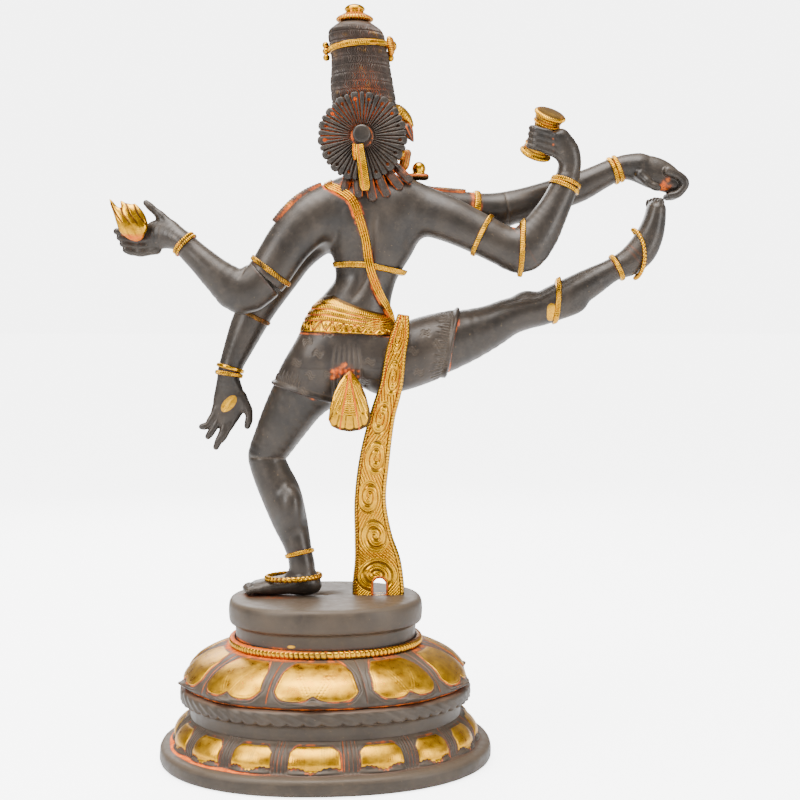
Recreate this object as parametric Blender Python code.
"""Four-armed dancing figure on an oval double-lotus pedestal, cast in brass.

The figure faces -Y, +Z is up, lengths below are in millimetres.  The pedestal's
axis is x = 0 while building; the whole object is then moved by ORIGIN_X so that
the overall box is centred on x = 0.
"""
import math

import bmesh
import bpy
from mathutils import Vector
from mathutils.bvhtree import BVHTree

MM = 0.001
NAME = "brass_nataraja_statue"
ORIGIN_X = 56.1          # moves the overall box's middle onto x = 0

# ---- driving dimensions, mm -------------------------------------------------
GAP = 0.3                # clearance between neighbouring castings
OVAL = 2.2               # superellipse power of the pedestal's plan
DEPTH = 0.86             # pedestal depth over width
WALL = 3.0               # wall of the hollow pedestal castings
FOOT_TOP = 56.0          # height of the scalloped rim
LOTUS_TOP = 85.0         # height of the upper lotus
PLINTH_TOP = 120.5       # height the figure stands at
LOWER_PETALS = 16
UPPER_PETALS = 10
PEDESTAL_TURN = math.radians(5)    # the pedestal stands slightly turned under the figure
WHEEL_R = 31.8
WHEEL_RIBS = 27
TENON_FOOT = (22.0, 0.0, 3.6)      # x, y, radius
TENON_SASH = (-26.5, -4.0, 3.0)

# ---- limb paths: x, y, z, half-width in the XZ plane, half-depth along Y -----
TRUNK = [
    (-21, 1, 272, 14, 12), (-21, 1.5, 280, 27, 19), (-20, 2, 292, 35.5, 23.5),
    (-19, 2, 304, 38, 24.5), (-18.5, 2, 316, 36, 24), (-18.3, 1.5, 328, 32, 22),
    (-21, 1, 339, 28, 20), (-26, 0, 349, 24.8, 18), (-30.5, 0, 357.5, 23, 17),
    (-33, 0, 366, 25.3, 18), (-35, 0, 376, 29.6, 20), (-36, 0, 388, 34.5, 22),
    (-37, 0, 400, 38.5, 23), (-38, 0, 412, 40, 22.5), (-38, 0, 422, 37, 20),
    (-36.5, 0, 430, 28, 16), (-34, -1, 436.5, 16, 13), (-32.7, -1.4, 440.5, 12.6, 12.4),
    (-32.5, -1.5, 443, 12.3, 12.3),
]
TRUNK_SEAM = 5.0
STANDING = [
    (-9, 0, 306, 27, 22), (3, -2, 290, 26.5, 22), (18.9, -6, 270.8, 21.8, 20.5),
    (29, -8.5, 255, 19.2, 19), (38.5, -11, 238, 16.3, 17), (45, -12.5, 225, 14, 15),
    (41.5, -11, 212, 14.3, 14.5), (34, -8, 196, 15.2, 14.5), (27.5, -5, 177, 13.4, 13),
    (22.6, -2, 163, 11, 11), (19.5, 0, 152, 9.6, 10), (17.8, 1, 143, 9.8, 10),
    (17.5, 1, 133, 9.8, 9.8),
]
RAISED = [
    (-44, 0, 295, 22, 20), (-60, -1, 300, 22.8, 21.5), (-77, -4, 306.5, 23, 21.5),
    (-101.5, -8, 314.5, 20.3, 19.5), (-122, -10, 322, 16.5, 17), (-137, -11, 329.5, 14.2, 16),
    (-150, -11, 333.5, 13.2, 15.5), (-163, -10, 336.5, 12.9, 14.5), (-176, -9, 342.5, 13.2, 14),
    (-197, -8, 354.5, 11.3, 12), (-212.5, -8, 363.5, 8.9, 9.6), (-220, -8, 367.5, 9, 9.6),
]
RAISED_FOOT = [
    (-220, -8, 367.5, 9, 9.6), (-228.5, -8, 371.5, 10.6, 10), (-237, -8.5, 379.5, 11.4, 10.4),
    (-243, -9, 390, 10.2, 10.4), (-246.5, -9.5, 401, 8.6, 10.8), (-248, -10, 410, 7.4, 11),
]
RIGHT_REAR = [
    (-60, 4, 412, 18, 14), (-77, 7, 407, 17.5, 14), (-92, 10, 401.5, 16.5, 14),
    (-106, 12, 395, 15.5, 13.6), (-119, 14, 388.5, 15, 13.6), (-131, 15, 382.5, 14.8, 13.6),
    (-145.5, 16, 379, 18, 14), (-157, 15.5, 390, 15, 13), (-165, 14.5, 402.5, 12.6, 12),
    (-171, 13.5, 413.5, 11, 11), (-175.5, 13, 423, 10.2, 10.4), (-178.2, 12.5, 429.5, 9.5, 10),
    (-179.5, 12, 434.5, 9, 9.4), (-180.4, 13.5, 442.5, 8.6, 7.8), (-178, 14.4, 451, 9.4, 7.2),
    (-173.6, 15.6, 460.5, 6.8, 6),
]
RIGHT_FRONT = [
    (-62, -4, 408, 15, 13), (-78, -9, 412, 13.5, 12.5), (-93, -12.5, 412.5, 12.4, 12.2),
    (-108, -15, 412, 11.8, 11.8), (-118, -16.5, 411, 12, 11.8), (-132, -18.5, 411.5, 12.4, 12.2),
    (-150, -21, 414.5, 13, 12.8), (-168, -22, 420.5, 12, 12.2), (-190, -22, 427.5, 11.4, 11.6),
    (-205, -20.5, 434.5, 10, 10.4), (-213, -20, 438.5, 9.4, 9.8), (-219, -20, 441, 9, 9.6),
    (-225, -19.5, 443, 8.6, 9.4), (-236, -17, 445, 8.4, 9.6), (-247, -14.5, 445, 7.6, 10.5),
    (-257, -13.5, 442, 6, 10.5),
]
LEFT_REAR = [
    (-20, 4, 412, 18, 15), (-2, 7, 408, 18.5, 15), (12, 10, 399, 18.5, 15),
    (25, 13, 385, 17.2, 14), (34, 15, 371.5, 16.2, 13.4), (43, 16, 358.5, 15.8, 13.2),
    (60, 16.5, 348.5, 17.6, 13.2), (75.6, 16, 358.5, 12.8, 12), (88.3, 14.5, 370, 10.4, 10.6),
    (97, 13, 378, 9.4, 9.6), (102.5, 12.5, 383.5, 8.8, 9.2), (107, 12, 387, 8.8, 8.8),
    (116, 10, 390.5, 11.5, 7), (126, 8, 390.5, 12.5, 5.4), (132, 6.5, 388, 10, 4.2),
]
LEFT_FRONT = [
    (-18, -4, 400, 16, 13), (5, -9, 392, 16, 13), (22, -13, 378, 15, 13),
    (34, -15.5, 362, 14.4, 12.8), (45, -16, 347, 14, 12.8), (52.5, -16, 336, 13.7, 12.8),
    (58.5, -16, 325, 13.2, 12.6), (65.5, -15.5, 309, 11.2, 11.2), (70.5, -15, 297, 9.4, 9.8),
    (73, -14.5, 289.5, 9, 9.4), (74, -14, 283, 8.8, 9), (74, -13.6, 274, 12.4, 6.4),
    (74.2, -13.2, 264, 14.6, 5.6), (74.6, -12.8, 256, 13.2, 4.8),
]
HEAD = [
    (-32.5, -2, 443.4, 12, 12.2), (-33.5, -4, 447.5, 15.5, 16.5), (-35, -6, 455, 19, 21),
    (-36, -6, 465, 20.6, 23), (-36, -5, 476, 21, 23), (-33.5, -4, 486, 21.4, 22.4),
    (-30, -3.5, 493, 21.8, 21.8),
]
CROWN = [
    (-28.8, -3, 493.3, 23.4, 22), (-27.8, -2.5, 501, 22.6, 21.4), (-27.2, -2, 511, 21.4, 20.8),
    (-26.6, -2, 520, 20.6, 20.4), (-25, -2, 529, 20.2, 20), (-23.6, -2, 537, 20, 19.6),
    (-22.8, -2, 542, 18, 17.8), (-22.5, -2, 545.5, 14.4, 14.4), (-22.5, -2, 547.2, 10.4, 10.4),
]
SASH = [
    (-58.5, 19.5, 329, 4.2, 1.8), (-56, 24.4, 318, 6.4, 2), (-53, 26.5, 303.6, 7.7, 2.2),
    (-49.4, 25.5, 279.5, 8.6, 2.4), (-42.8, 20, 255.8, 9.5, 3), (-37, 13, 224.3, 11.3, 3.6),
    (-33.8, 6, 193.5, 11.9, 4), (-35.8, 0, 166, 14.1, 4.4), (-39, -3, 145, 17.6, 4.8),
    (-39.5, -4, 130, 19.4, 5), (-39.6, -4, PLINTH_TOP + GAP, 19.7, 5.2),
]
APRON = [
    (-20, 28.6, 291, 1.5, 1.2), (-19.6, 28.9, 284, 8, 1.5), (-19.6, 29.2, 276, 12.5, 1.7),
    (-19.4, 29, 266, 15.2, 1.8), (-19, 28.2, 257, 14, 1.7), (-18.6, 27.4, 251, 8.5, 1.5),
    (-18.4, 27, 247.6, 1.5, 1.2),
]

# ---- finishes ---------------------------------------------------------------
FINISH = {
    "patina": ((0.085, 0.075, 0.066), 0.42),
    "cloth": ((0.095, 0.08, 0.068), 0.48),
    "gold": ((0.72, 0.47, 0.14), 0.34),
    "hair": ((0.11, 0.078, 0.06), 0.5),
    "pedestal": ((0.1, 0.085, 0.07), 0.45),
    "steel": ((0.45, 0.44, 0.42), 0.4),
}

for ob in list(bpy.data.objects):
    bpy.data.objects.remove(ob, do_unlink=True)

parts = bpy.data.collections.new(NAME)
bpy.context.scene.collection.children.link(parts)
bench = bpy.data.collections.new("bench")
bpy.context.scene.collection.children.link(bench)


# ---- modelling helpers ------------------------------------------------------
def body(verts, faces):
    """A closed body from points in mm and faces; normals face out."""
    mesh = bpy.data.meshes.new("body")
    mesh.from_pydata([Vector(v) for v in verts], [], faces)
    bm = bmesh.new()
    bm.from_mesh(mesh)
    bmesh.ops.remove_doubles(bm, verts=bm.verts, dist=1e-4)
    bmesh.ops.recalc_face_normals(bm, faces=bm.faces)
    bm.to_mesh(mesh)
    bm.free()
    ob = bpy.data.objects.new("body", mesh)
    bench.objects.link(ob)
    return ob


def skin(rings, ring_closed=False):
    """Skins successive rings of equal length; open runs get flat end caps."""
    n = len(rings[0])
    verts = [p for ring in rings for p in ring]
    faces = []
    count = len(rings)
    for i in range(count if ring_closed else count - 1):
        a, b = i * n, ((i + 1) % count) * n
        for j in range(n):
            k = (j + 1) % n
            faces.append((a + j, a + k, b + k, b + j))
    if not ring_closed:
        faces.append(tuple(range(n - 1, -1, -1)))
        faces.append(tuple(range((count - 1) * n, count * n)))
    return body(verts, faces)


def stations(path, n=14, flat=False):
    """One elliptical ring per row of a path, square to the path."""
    out = []
    for i, (x, y, z, ra, rb) in enumerate(path):
        before, after = path[max(i - 1, 0)], path[min(i + 1, len(path) - 1)]
        along = Vector(after[:3]) - Vector(before[:3])
        if flat:
            along = Vector((0, 0, 1))
        along.normalize()
        deep = Vector((0, 1, 0)) - along * along.y
        deep.normalize()
        wide = deep.cross(along)
        mid = Vector((x, y, z))
        out.append([mid + wide * (ra * math.cos(2 * math.pi * k / n))
                    + deep * (rb * math.sin(2 * math.pi * k / n)) for k in range(n)])
    return out


def ring_at(rings, t, grow=0.0):
    i = min(int(math.floor(t)), len(rings) - 2)
    f = t - i
    ring = [a.lerp(b, f) for a, b in zip(rings[i], rings[i + 1])]
    if grow:
        mid = sum(ring, Vector()) / len(ring)
        ring = [p + (p - mid).normalized() * grow for p in ring]
    return ring


def span(rings, t0, t1, grow=0.0):
    """Rings of a path between two positions, whole stations included."""
    ts = [t0] + [float(i) for i in range(int(math.floor(t0)) + 1, int(math.ceil(t1)))] + [t1]
    return [ring_at(rings, t, grow) for t in ts]


def tube(path, t0=0.0, t1=None, n=14, grow=0.0, flat=False):
    rings = stations(path, n, flat)
    return skin(span(rings, t0, len(path) - 1.0 if t1 is None else t1, grow))


def band(path, t0, t1, thick, n=14, clear=GAP, flat=False):
    """A ring of metal round a limb, from t0 to t1 on its path."""
    rings = stations(path, n, flat)
    lo, hi = t0 + (t1 - t0) * 0.16, t1 - (t1 - t0) * 0.16
    loops = [ring_at(rings, t0, clear), ring_at(rings, lo, clear + thick), ring_at(rings, hi, clear + thick),
             ring_at(rings, t1, clear)]
    inner = [ring_at(rings, float(i), clear)
             for i in range(int(math.ceil(t1)) - 1, int(math.floor(t0)), -1)]
    outer = [ring_at(rings, float(i), clear + thick) for i in range(int(math.floor(t0)) + 1, int(math.ceil(t1)))
             if lo < i < hi]
    return skin(loops[:2] + outer + loops[2:] + inner, ring_closed=True)


def finger(points, r0, r1, n=6):
    """A tapering rounded finger along a few points."""
    path = []
    last = len(points) - 1
    for i, p in enumerate(points):
        r = r0 + (r1 - r0) * i / last
        path.append((*p, r, r))
    a, b = Vector(points[-2]), Vector(points[-1])
    tip = b + (b - a).normalized() * r1 * 0.7
    path.append((tip.x, tip.y, tip.z, r1 * 0.45, r1 * 0.45))
    return tube(path, n=n)


def ball(x, y, z, rx, ry, rz, u=8, v=6):
    rings = []
    for i in range(1, v):
        a = math.pi * i / v
        rings.append([Vector((x + rx * math.sin(a) * math.cos(2 * math.pi * k / u),
                              y + ry * math.sin(a) * math.sin(2 * math.pi * k / u),
                              z - rz * math.cos(a))) for k in range(u)])
    return skin(rings)


def brick(x0, x1, y0, y1, z0, z1):
    return skin([[Vector((x0, y0, z)), Vector((x1, y0, z)), Vector((x1, y1, z)), Vector((x0, y1, z))]
                 for z in (z0, z1)])


def turned(cx, cy, profile, n=20, squash=1.0, closed=False):
    """A round turned about a vertical axis; profile rows are radius, height."""
    rings = [[Vector((cx + r * math.cos(2 * math.pi * k / n),
                      cy + r * squash * math.sin(2 * math.pi * k / n), z)) for k in range(n)]
             for r, z in profile]
    return skin(rings, ring_closed=closed)


def merge(base, others, operation="UNION"):
    """Boolean of one body with others, kept as plain mesh."""
    for other in others:
        mod = base.modifiers.new("merge", "BOOLEAN")
        mod.operation = operation
        mod.solver = "EXACT"
        mod.object = other
    bpy.context.view_layer.update()
    graph = bpy.context.evaluated_depsgraph_get()
    mesh = bpy.data.meshes.new_from_object(base.evaluated_get(graph))
    base.modifiers.clear()
    base.data = mesh
    for other in others:
        bpy.data.objects.remove(other, do_unlink=True)
    bm = bmesh.new()
    bm.from_mesh(mesh)
    bmesh.ops.remove_doubles(bm, verts=bm.verts, dist=0.02)
    bmesh.ops.dissolve_degenerate(bm, edges=bm.edges, dist=1e-3)
    bmesh.ops.recalc_face_normals(bm, faces=bm.faces)
    bm.to_mesh(mesh)
    bm.free()
    return base


def finish(ob, name, slot):
    """Names a body, gives it its own material and files it as a part."""
    bench.objects.unlink(ob)
    parts.objects.link(ob)
    ob.name = name
    ob.data.name = name
    colour, rough = FINISH[slot]
    mat = bpy.data.materials.new(name + "_" + slot)
    mat.use_nodes = True
    shader = mat.node_tree.nodes["Principled BSDF"]
    shader.inputs["Base Color"].default_value = (*colour, 1)
    shader.inputs["Roughness"].default_value = rough
    shader.inputs["Metallic"].default_value = 1.0
    ob.data.materials.clear()
    ob.data.materials.append(mat)
    for poly in ob.data.polygons:
        poly.material_index = 0
    return ob


def tree_of(bodies):
    verts, faces = [], []
    for ob in bodies:
        base = len(verts)
        verts += [v.co.copy() for v in ob.data.vertices]
        faces += [tuple(base + i for i in f.vertices) for f in ob.data.polygons]
    return BVHTree.FromPolygons(verts, faces)


def oval(a, z, n, bump=0.0, petals=1, phase=0.0, shape=0.5, depth=DEPTH):
    """One oval ring of the pedestal; bump swells it at every petal."""
    ring = []
    for k in range(n):
        th = phase + 2 * math.pi * k / n
        r = a + bump * abs(math.cos(math.pi * petals * k / n)) ** shape
        c, s = math.cos(th), math.sin(th)
        x, y = r * math.copysign(abs(c) ** (2 / OVAL), c), r * depth * math.copysign(abs(s) ** (2 / OVAL), s)
        ct, st = math.cos(PEDESTAL_TURN), math.sin(PEDESTAL_TURN)
        ring.append(Vector((x * ct - y * st, x * st + y * ct, z)))
    return ring


# ---- pedestal ---------------------------------------------------------------
n = LOWER_PETALS * 4
low = math.radians(89.5)
rows = [(122.8, 0, 0), (124.5, 2, 0), (124.5, 9, 0), (121.8, 12, 0), (116.4, 12.8, 0),
        (112.6, 14, 2.4), (111.4, 20, 3.2), (107.4, 27, 3.2), (103, 32, 2), (101.6, 34, 0),
        (101.2, 39.5, 0), (103, 45.2, 0), (108.2, 46.6, 1.4), (108.6, 51, 1.4), (108, FOOT_TOP, 1.2)]
outer = [oval(a, z, n, b, LOWER_PETALS, low) for a, z, b in rows]
inner = [oval(a, z, n, phase=low) for a, z in ((90, FOOT_TOP), (90, FOOT_TOP - WALL), (97.5, FOOT_TOP - WALL - 1),
                                               (97.5, 33), (107.6, 14), (119, 8.5), (119, 0))]
finish(skin(outer + inner, ring_closed=True), "pedestal_foot", "pedestal")

n = UPPER_PETALS * 6
up = math.radians(89.5)
z0 = FOOT_TOP + GAP
rows = [(103.5, z0, 2), (104.6, z0 + 3, 3.4), (102.6, 64, 4), (97, 70.5, 4), (88.5, 77, 3.4),
        (79, 82, 2), (72.5, LOTUS_TOP, 0.4)]
outer = [oval(a, z, n, b, UPPER_PETALS, up, 0.6) for a, z, b in rows]
inner = [oval(a, z, n, phase=up) for a, z in ((58, LOTUS_TOP), (58, LOTUS_TOP - WALL), (74, LOTUS_TOP - WALL - 1.5),
                                              (92.5, 69), (99.4, z0))]
finish(skin(outer + inner, ring_closed=True), "upper_lotus", "pedestal")

n = 48
z0 = LOTUS_TOP + GAP
rows = [oval(a, z, n) for a, z in ((68.4, z0), (71.6, z0), (73, z0 + 2.2), (72.8, z0 + 4.4),
                                   (71, z0 + 6.2), (68.4, z0 + 6.2))]
finish(skin(rows, ring_closed=True), "beaded_collar", "gold")

n = 32
rows = [(67.8, z0), (67.4, z0 + 7), (67.6, z0 + 9), (70.2, z0 + 12.5), (72, z0 + 17), (72.4, PLINTH_TOP - 1),
        (71.6, PLINTH_TOP)]
shell = [oval(a, z, n) for a, z in rows]
shell.append(oval(40, PLINTH_TOP, n))
under = [oval(a, z, n) for a, z in ((40, PLINTH_TOP - 4), (68.4, PLINTH_TOP - 4.4), (67.6, z0 + 16),
                                    (64.4, z0 + 9), (64.4, z0))]
plinth = skin(shell + under, ring_closed=True)
lid = skin([oval(41, PLINTH_TOP - 4, n), oval(41, PLINTH_TOP, n)])
plinth = merge(plinth, [lid])
plinth = merge(plinth, [turned(x, y, [(r + 0.4, 100), (r + 0.4, 130)], 12)
                        for x, y, r in (TENON_FOOT, TENON_SASH)], "DIFFERENCE")
finish(plinth, "plinth", "pedestal")

for tag, (x, y, r) in (("foot", TENON_FOOT), ("sash", TENON_SASH)):
    top = PLINTH_TOP - 4.4 - GAP
    finish(turned(x, y, [(r + 0.4, top - 1.5), (r + 5, top - 1.5), (r + 5, top), (r + 0.4, top)], 16, closed=True),
           tag + "_washer", "steel")
    top -= 1.5 + GAP
    loops = []
    for z, outer in ((top - 5, False), (top - 5, True), (top, True), (top, False)):
        loop = []
        for k in range(24):
            q = 2 * math.pi * k / 24
            flat = (q + math.pi / 6) % (math.pi / 3) - math.pi / 6
            reach = (r + 3.4) / math.cos(flat) if outer else r + 0.4
            loop.append(Vector((x + reach * math.cos(q), y + reach * math.sin(q), z)))
        loops.append(loop)
    finish(skin(loops, ring_closed=True), tag + "_nut", "steel")

# ---- trunk, dhoti and the roots of the limbs -------------------------------
D = 0.02
torso = tube(TRUNK, TRUNK_SEAM + D, n=22, flat=True)
roots = [tube(RIGHT_REAR, 0, 3.8 - D), tube(RIGHT_FRONT, 0, 3.4 - D),
         tube(LEFT_REAR, 0, 5 - D), tube(LEFT_FRONT, 0, 5.46 - D)]
curls = [finger([(-31 - 5.4 * k, 16, 434 - 0.4 * k), (-29.5 - 6 * k, 19.6 - 0.9 * k, 427 - 0.2 * k),
                 (-28 - 6.4 * k, 20.2 - 1.2 * k, 419.5 + 1.1 * k)], 2.8, 2.2, 6) for k in range(5)]
torso = merge(torso, roots + curls)
torso_tree = tree_of([torso])
finish(torso, "torso", "patina")

dhoti = tube(TRUNK, 0, TRUNK_SEAM - D, n=22, flat=True)
dhoti = merge(dhoti, [tube(RAISED, 0, 3 - D, n=18, grow=1.4), tube(STANDING, 0, 2 - D, n=18, grow=1.4)])
finish(dhoti, "dhoti", "cloth")

# ---- arms -------------------------------------------------------------------
finish(tube(RIGHT_REAR, 3.8 + D, 10.8 - D), "right_rear_arm", "patina")
finish(tube(RIGHT_FRONT, 3.4 + D, 11.5 - D), "right_front_arm", "patina")
finish(tube(LEFT_REAR, 5 + D, 10 - D), "left_rear_arm", "patina")
finish(tube(LEFT_FRONT, 5.46 + D, 9.5 - D), "left_front_arm", "patina")
finish(band(RIGHT_REAR, 3.66, 3.94, 1.7), "right_rear_armlet", "gold")
finish(band(RIGHT_FRONT, 3.2, 3.6, 1.6), "right_front_armlet", "gold")
finish(band(LEFT_REAR, 4.88, 5.1, 1.7), "left_rear_armlet", "gold")
finish(band(RIGHT_REAR, 5.8, 6.2, 1.5), "right_rear_elbow_band", "gold")
finish(band(LEFT_FRONT, 5.3, 5.62, 1.5), "left_front_elbow_band", "gold")
finish(band(RIGHT_REAR, 10.1, 10.5, 1.6), "right_rear_bangle_lower", "gold")
finish(band(RIGHT_REAR, 10.62, 11.05, 1.6), "right_rear_bangle_upper", "gold")
finish(band(RIGHT_FRONT, 10.4, 10.85, 1.6), "right_front_bangle_inner", "gold")
finish(band(RIGHT_FRONT, 11.28, 11.72, 1.6), "right_front_bangle_outer", "gold")
finish(band(LEFT_REAR, 9.75, 10.25, 1.6), "left_rear_bangle", "gold")
finish(band(LEFT_FRONT, 8.6, 8.95, 1.6), "left_front_bangle_upper", "gold")
finish(band(LEFT_FRONT, 9.3, 9.7, 1.6), "left_front_bangle_lower", "gold")

# ---- hands ------------------------------------------------------------------
palm = tube(RIGHT_REAR, 10.8 + D)
digits = [finger([(-174 + 0.6 * k, 15.4 + 0.4 * k, 446 + 4.4 * k), (-165, 17.1 + 0.8 * k, 450.4 + 4.3 * k),
                  (-157, 16.1 + 0.8 * k, 453.4 + 4.2 * k), (-150.6 - 0.5 * k, 13.0 + 0.6 * k, 455.4 + 4.1 * k)], 3, 2.4)
          for k in range(4)]
digits.append(finger([(-178, 8, 444), (-177, 0, 450), (-172, -6, 456), (-165, -9.4, 460)], 3.6, 2.6))
finish(merge(palm, digits), "right_rear_hand", "patina")

palm = tube(RIGHT_FRONT, 11.5 + D, 13)
hand = tube([(-228, -18.8, 442.5, 7.6, 7.0), (-236, -17, 441.5, 10.5, 8.6), (-247, -15, 438, 12, 8.4), (-256, -14, 434.5, 11, 7.6)], n=12)
digits = [finger([(-256, -21.5 + 5.4 * k, 438), (-265.5, -21.4 + 5.4 * k, 433.4), (-266.4, -20.8 + 5.3 * k, 426.4),
                  (-262, -20.4 + 5.2 * k, 421.6), (-256.6, -20.2 + 5.2 * k, 420.8)], 3.2, 2.4) for k in range(4)]
digits.append(finger([(-236, -9.5, 436), (-242, -6, 429.4), (-248.4, -5, 426)], 3.8, 2.8))
finish(merge(palm, [hand] + digits), "right_front_hand", "patina")

palm = tube(LEFT_REAR, 10 + D)
digits = [finger([(124, 7.5, 379.5 + 4.2 * k), (134, 7.4, 377.6 + 4.5 * k), (141 + 1.3 * k, 7.6, 377.8 + 4.5 * k),
                  (146.5 + 2.2 * k, 8.4, 379.4 + 4.5 * k)], 3.5, 2.7) for k in range(4)]
digits.append(finger([(114, 9, 398), (123, 8, 407), (131, 7.5, 413.5)], 3.7, 2.6))
finish(merge(palm, digits), "left_rear_hand", "patina")

palm = tube(LEFT_FRONT, 9.5 + D)
digits = [finger(p, 3.3, 2.5) for p in (
    [(82, -13, 260), (86.4, -12, 253), (90, -11, 248), (94, -10.6, 247)],
    [(78, -13, 258), (82.4, -12, 250), (85.8, -11, 244.4), (89.3, -10.6, 239.5)],
    [(73, -13, 257), (76.8, -12, 247), (80, -11, 239.4), (83.3, -10.6, 231.5)],
    [(68.6, -13, 258), (72, -12, 249.6), (75.6, -11, 243), (79, -10.6, 237)])]
digits.append(finger([(62, -13, 269), (58.6, -11.4, 260), (58.4, -9.8, 248.5)], 3.7, 2.6))
finish(merge(palm, digits), "left_front_hand", "patina")

# ---- drum and flame ---------------------------------------------------------
axis = [(Vector((-156, -2.5, 449.6)).lerp(Vector((-166.4, 13.2, 479)), f), r)
        for f, r in ((0, 10.6), (0.05, 12), (0.12, 11.6), (0.3, 8.6), (0.5, 7), (0.7, 8.6), (0.88, 11.6),
                     (0.95, 12), (1, 10.6))]
finish(tube([(*p, r, r) for p, r in axis], n=18), "drum", "gold")

# the flame: a block of three tongues
base = tube([(137.2, 15.4, 390, 5, 3.4), (139.2, 15.4, 395, 9, 4.4), (141.6, 15.4, 401, 9.6, 4.6),
             (143, 15.4, 405.5, 7.6, 4)], n=12)
tongues = [finger([(133.6, 15.4, 396), (134, 15.4, 403.4), (137.6, 15.4, 411.4)], 4.4, 1.3),
           finger([(139.4, 15.4, 399), (142.4, 15.4, 406.4), (147.8, 15.4, 413.6)], 4.8, 1.3),
           finger([(145, 15.4, 397), (150, 15.4, 405), (155.6, 15.4, 414.2)], 4.8, 1.3)]
finish(merge(base, tongues), "flame", "gold")

# ---- legs and feet ----------------------------------------------------------
finish(tube(STANDING, 2 + D, 10 - D, n=16), "standing_leg", "patina")
foot = tube([(8.2, 0.6, 127, 4.6, 5), (10.4, 0.6, 128, 6.6, 7.4), (15, 0.6, 129.6, 9, 9), (22, 0.5, 129.6, 8.8, 9.8),
             (30, -0.5, 127.9, 7, 10.4), (38, -1, 126.2, 5.3, 11), (46, -1.4, 125.3, 4.4, 11.4),
             (53, -1.6, 124.9, 4, 11)], n=16)
extra = [tube(STANDING, 10 + D, 12, n=16),
         turned(TENON_FOOT[0], TENON_FOOT[1], [(TENON_FOOT[2], 104), (TENON_FOOT[2], 126)], 16)]
toes = [finger([(50, -9.8 + 4.3 * k, 124.4), (56, -10 + 4.3 * k, 124.3), (59.6 - 0.7 * abs(k - 1), -10 + 4.3 * k, 123.9)],
               2.5, 2.1, 8) for k in range(5)]
foot = merge(foot, extra + toes)
finish(foot, "standing_foot", "patina")

finish(tube(RAISED, 3 + D, 11 - 0.03, n=16), "raised_leg", "patina")
foot = tube(RAISED_FOOT, 0.03, n=14)
toes = [finger([(-245 - 1.4 * k, -17.6 + 3.6 * k, 405), (-244.2 - 1.6 * k, -17.4 + 3.5 * k, 412),
                (-243.6 - 1.7 * k, -17.2 + 3.5 * k, 417.4 - 0.5 * abs(k - 2))], 2.6, 2.3, 8) for k in range(5)]
finish(merge(foot, toes), "raised_foot", "patina")

finish(band(RAISED, 7.55, 7.95, 1.6, n=16), "knee_band", "gold")
finish(band(RAISED, 10.55, 10.95, 1.7, n=16), "ankle_band_right", "gold")
finish(band(RAISED_FOOT, 1.3, 1.62, 1.5, n=14), "anklet_right", "gold")
finish(band(STANDING, 9.82, 10.14, 1.6, n=16), "ankle_band_left", "gold")
ring = []
for k in range(24):
    a = 2 * math.pi * k / 24
    c = Vector((24.3 + 20.2 * math.cos(a), 0.5 + 15.2 * math.sin(a), 134.6 - 0.8 * math.cos(a)))
    o = Vector((math.cos(a), math.sin(a), 0))
    ring.append([c + o * (1.7 * math.cos(q)) + Vector((0, 0, 2.2 * math.sin(q)))
                 for q in [2 * math.pi * j / 6 for j in range(6)]])
finish(skin(ring, ring_closed=True), "anklet_left", "gold")

# ---- sash, apron, belt and bands -------------------------------------------
sash = tube(SASH, n=16)
sash = merge(sash, [turned(TENON_SASH[0], TENON_SASH[1], [(TENON_SASH[2], 104), (TENON_SASH[2], 124)], 16)])
arch = [[Vector((-39.6 + w, y, z)) for w, z in ((-7, 112), (7, 112), (7, 129), (4.5, 134.5), (0, 136.5), (-4.5, 134.5), (-7, 129))]
        for y in (-30, 20)]
sash = merge(sash, [skin(arch)], "DIFFERENCE")
finish(sash, "sash_pillar", "gold")
finish(tube(APRON, n=16), "rear_apron", "gold")
belt = band(TRUNK, 4.93, 5.95, 2.2, n=22, clear=0.6, flat=True)
rib = band(TRUNK, 9.2, 9.7, 1.3, n=22, clear=0.6, flat=True)
girdled = tree_of([torso, rib, belt])
finish(belt, "hip_belt", "gold")
finish(rib, "rib_band", "gold")


def strap(tree, rays, width, thick, clear, closed=False):
    """A flat strap laid on a surface under a run of rays."""
    spots = []
    for start, way in rays:
        hit, normal, _, _ = tree.ray_cast(Vector(start), Vector(way).normalized())
        if hit is not None:
            if normal.dot(Vector(way)) > 0:
                normal = -normal
            spots.append((hit, normal))
    m = len(spots)
    rings = []
    for i in range(m):
        around = [i - 1, i, i + 1]
        around = [j % m for j in around] if closed else [min(max(j, 0), m - 1) for j in around]
        up_ = sum((spots[j][1] for j in around), Vector()).normalized()
        along = (spots[around[2]][0] - spots[around[0]][0]).normalized()
        side = along.cross(up_).normalized()
        up_ = side.cross(along).normalized()
        p = spots[i][0]
        w = width / 2
        edges = []
        for k in (1, 0.6, -0.6, -1):
            hit = tree.ray_cast(p + side * (w * k) + up_ * 25, -up_)[0]
            edges.append((hit if hit is not None and (hit - p).length < width else p + side * (w * k)))
        rings.append([edges[0] + up_ * clear, edges[0] + up_ * (clear + thick * 0.6),
                      edges[1] + up_ * (clear + thick), edges[2] + up_ * (clear + thick),
                      edges[3] + up_ * (clear + thick * 0.6), edges[3] + up_ * clear])
    return skin(rings, ring_closed=closed)


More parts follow.
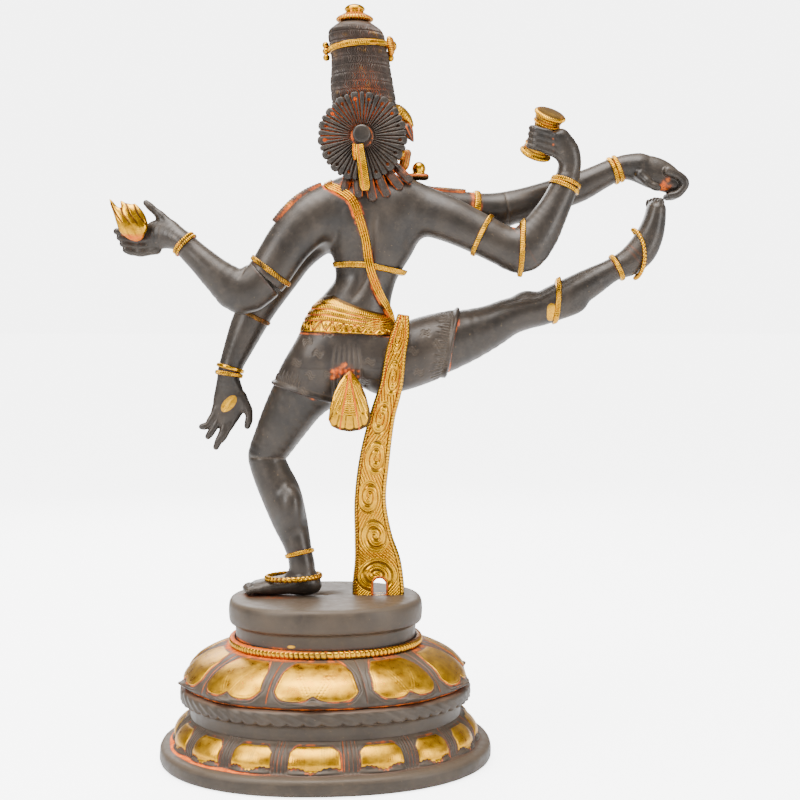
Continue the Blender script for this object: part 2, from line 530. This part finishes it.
def through(knots, count):
    """Even samples along a smooth curve through a few knots."""
    out = []
    k = len(knots)
    for s in range(count):
        t = s * (k - 1) / (count - 1)
        i = min(int(t), k - 2)
        f = t - i
        p0, p1, p2, p3 = (Vector(knots[max(i - 1, 0)]), Vector(knots[i]), Vector(knots[i + 1]),
                          Vector(knots[min(i + 2, k - 1)]))
        out.append(0.5 * ((2 * p1) + (p2 - p0) * f + (2 * p0 - 5 * p1 + 4 * p2 - p3) * f * f
                          + (3 * p1 - p0 - 3 * p2 + p3) * f ** 3))
    return out


back = through([(-4, 0, 425), (-13, 0, 421.5), (-22, 0, 414), (-27, 0, 400), (-31, 0, 386), (-32.6, 0, 371),
                (-34.5, 0, 361), (-38.6, 0, 353), (-43, 0, 348)], 24)
front = through([(-43, 0, 347), (-34, 0, 353), (-26, 0, 362), (-19, 0, 374), (-13, 0, 388), (-8, 0, 403),
                 (-4, 0, 416), (-3, 0, 424)], 26)
rays = [((p.x, 90, p.z), (0, -1, 0)) for p in back]
for a in range(66, -67, -12):
    q = math.radians(a)
    rays.append(((-21 - 80 * math.cos(q), 80 * math.sin(q), 347), (math.cos(q), -math.sin(q), 0)))
rays += [((p.x, -90, p.z), (0, 1, 0)) for p in front]
for a in range(-54, 43, 16):
    q = math.radians(a)
    rays.append(((-3.4, 80 * math.sin(q), 412 + 80 * math.cos(q)), (0, -math.sin(q), -math.cos(q))))
finish(strap(girdled, rays, 5, 1.3, 1.7, closed=True), "sacred_thread", "gold")

rays = []
for k in range(19):
    a = math.radians(195 + 150 * k / 18)
    rays.append(((-33.5 + 90 * math.cos(a), 90 * math.sin(a), 434.5 + 2.5 * math.sin(a) + 17.5),
                 (-math.cos(a), -math.sin(a), -0.29)))
finish(strap(torso_tree, rays, 5, 1.4, 0.8), "necklace", "gold")

top = through([(-4, 3, 0), (8, 5, 0), (20, 7.5, 0), (31, 9.5, 0), (40, 11, 0)], 16)
rays = [((p.x - 20, p.y, 480), (0.25, 0, -1)) for p in top]
finish(strap(torso_tree, [((p.x + 30, p.y, p.z + 470), (-0.5, 0, -1)) for p in top], 7.4, 1.5, 1.0),
       "left_shoulder_lock", "hair")
top = through([(-79, -6, 0), (-88, -8, 0), (-97, -10, 0), (-104, -12, 0)], 9)
finish(strap(torso_tree, [((p.x, p.y, 480), (0, 0, -1)) for p in top], 7, 1.6, 1.0), "right_shoulder_lock", "hair")

# ---- head, hair, crown and wheel -------------------------------------------
turn = math.radians(24)                      # the head looks to the figure's right
cheek = Vector((-math.sin(turn), -math.cos(turn), 0))
side = Vector((math.cos(turn), -math.sin(turn), 0))
mid = Vector((-35.5, -5, 463))
head = tube(HEAD, n=18, flat=True)
chin = mid + cheek * 15 + Vector((0, 0, -14))
nose = [mid + cheek * 21 + Vector((0, 0, 8)), mid + cheek * 24.4 + Vector((0, 0, 1)),
        mid + cheek * 25.4 + Vector((0, 0, -3.4))]
ears = [mid + side * (s * 20.6) + Vector((0, 0, 0.5)) for s in (1, -1)]
tiara = tube([(-47, -12, 485, 3, 6), (-54, -12, 483, 4, 7), (-59.6, -11, 478, 4, 6), (-64, -9.6, 474, 1.6, 3)], n=10)
head = merge(head, [tiara, ball(*chin, 7.6, 7.6, 6.4), finger([tuple(p) for p in nose], 1.4, 2.7, 8)]
             + [ball(*e, 2.6, 3.4, 7.2, 8, 6) for e in ears])

finish(head, "head", "patina")
for tag, s in (("left", 1), ("right", -1)):
    c = mid + side * (s * 23.2) + cheek * (-1.5) + Vector((0, 0, -13.2))
    finish(ball(*c, 3.6, 5, 4.6, 10, 6), tag + "_earring", "gold")
finish(tube(CROWN, n=20, flat=True), "hair_crown", "hair")
circlet = band(CROWN, 3.9, 4.3, 2.5, n=20, flat=True, clear=0.5)
for v in circlet.data.vertices:
    v.co.z -= (v.co.x + 25) * 0.09
c = Vector((-22.5, -2, 0))
finish(turned(c.x, c.y, [(9.6, 547.5), (13.4, 548.6), (13.9, 549.8), (12.4, 551.2), (8.4, 553.4), (6.8, 554.6),
                         (7.5, 556.2), (7.2, 558), (4.6, 560), (1.4, 560.7)], 18), "finial", "gold")
rosette = tube([(-47.3, -4, 530, 6.6, 6), (-49.6, -4, 530, 7.4, 6.6), (-51.2, -4, 530, 6, 5), (-52.2, -4, 530, 2.6, 2.4)], n=14)
knots = [ball(-0.6, -3, 530.6, 2.6, 2.4, 2.6, 6, 5), ball(-1.2, -3, 526.4, 2.6, 2.4, 3, 6, 5), ball(-1.2, -3, 521.8, 2.5, 2.4, 2.9, 6, 5)]
finish(merge(circlet, knots + [rosette]), "crown_band", "gold")

wheel_y = 20.6
wc = Vector((-28.6, 0, 460.6))
plan = []
for k in range(WHEEL_RIBS * 3):
    a = 2 * math.pi * k / (WHEEL_RIBS * 3)
    plan.append((a, WHEEL_R - (1.3 if k % 3 == 0 else 0.0)))
rings = []
for y, f, dent in ((wheel_y, 0.96, 0), (wheel_y + 1, 1, 0), (wheel_y + 2.6, 1, 0), (wheel_y + 3.6, 0.95, 0.9),
                   (wheel_y + 3.4, 0.24, 0.5)):
    rings.append([Vector((wc.x + r * f * math.cos(a), y - (dent if i % 3 == 0 else 0), wc.z + r * f * math.sin(a)))
                  for i, (a, r) in enumerate(plan)])
wheel = skin(rings)
rings = [[Vector((wc.x + 0.4 + r * math.cos(2 * math.pi * k / 20), y, wc.z + 1.6 + r * math.sin(2 * math.pi * k / 20)))
          for k in range(20)] for r, y in ((6.6, wheel_y + 1.4), (6.8, wheel_y + 5.4), (5.4, wheel_y + 6.8), (2.4, wheel_y + 7.4))]
finish(merge(wheel, [skin(rings)]), "siraschakra", "patina")
finish(tube([(-27, wheel_y + 5.8, 453.4, 3.4, 1.3), (-28.4, wheel_y + 5.8, 440, 3.8, 1.4),
             (-30.6, wheel_y + 5.8, 426, 4, 1.4), (-31.4, wheel_y + 5.8, 422, 2.4, 1)], n=12), "wheel_tassel", "gold")

# the small ball on its block beside the neck
block = brick(-76, -62, -5, 5, 431.4, 436)
finish(merge(block, [ball(-70, 0, 439.6, 5, 5, 5, 12, 8)]), "shoulder_ornament", "gold")

# ---- into metres and onto the row's origin ---------------------------------
for ob in parts.objects:
    for v in ob.data.vertices:
        v.co = (v.co + Vector((ORIGIN_X, 0, 0))) * MM
    ob.data.update()
bpy.data.collections.remove(bench)
